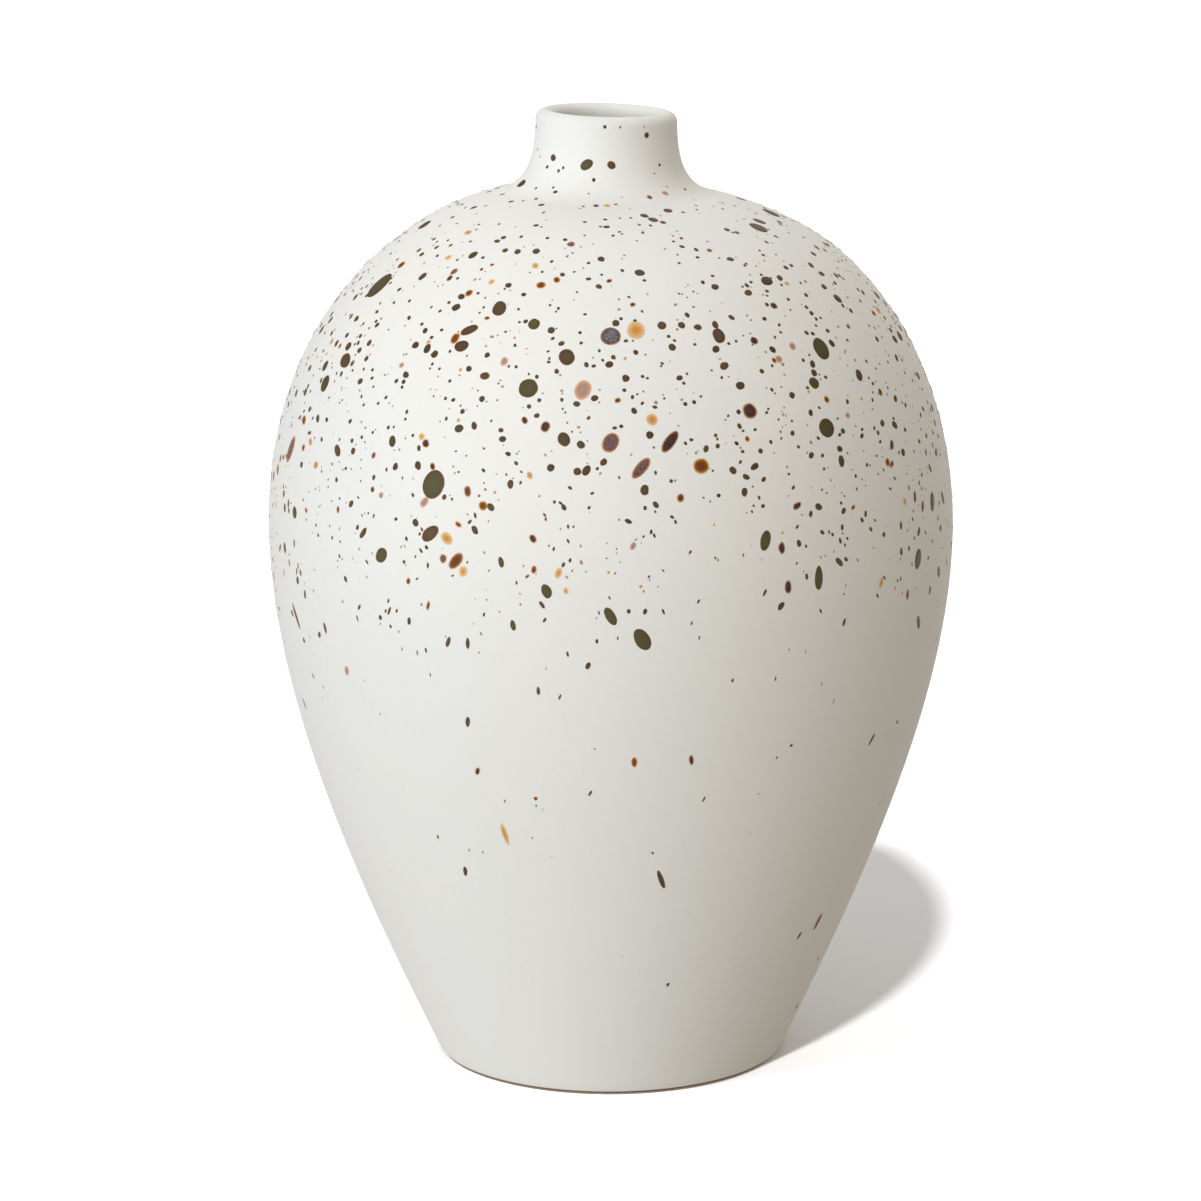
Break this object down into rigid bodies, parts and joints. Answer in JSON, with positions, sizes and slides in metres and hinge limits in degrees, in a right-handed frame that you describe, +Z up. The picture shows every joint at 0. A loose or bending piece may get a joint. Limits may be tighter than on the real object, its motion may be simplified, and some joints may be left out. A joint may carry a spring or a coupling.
{
  "type": "ceramic bud vase",
  "caption": "Round-shouldered ceramic bud vase with a short narrow neck, matte white with flicked dark and rust spatter.",
  "frame": {"origin": "centre of the foot, on the surface that the vase stands on", "axes": "+Z up along the axis of the vase, from the foot to the mouth; +X and +Y are free, because the shape is round"},
  "size_m": [0.15, 0.15, 0.21],
  "materials": {
    "bare_clay": "matte",
    "matte_white": "matte",
    "liner_glaze": "gloss",
    "olive_spatter": "satin",
    "umber_spatter": "satin",
    "rust_spatter": "satin",
    "mauve_spatter": "satin"
  },
  "bodies": {
    "root": {"clay_base": "bare_clay", "clay_lower_wall": "bare_clay", "clay_belly": "bare_clay", "clay_upper_wall": "bare_clay", "clay_shoulder": "bare_clay", "clay_collar": "bare_clay", "clay_neck": "bare_clay", "matte_coat": "matte_white", "liner_glaze": "liner_glaze"}
  },
  "joints": []
}
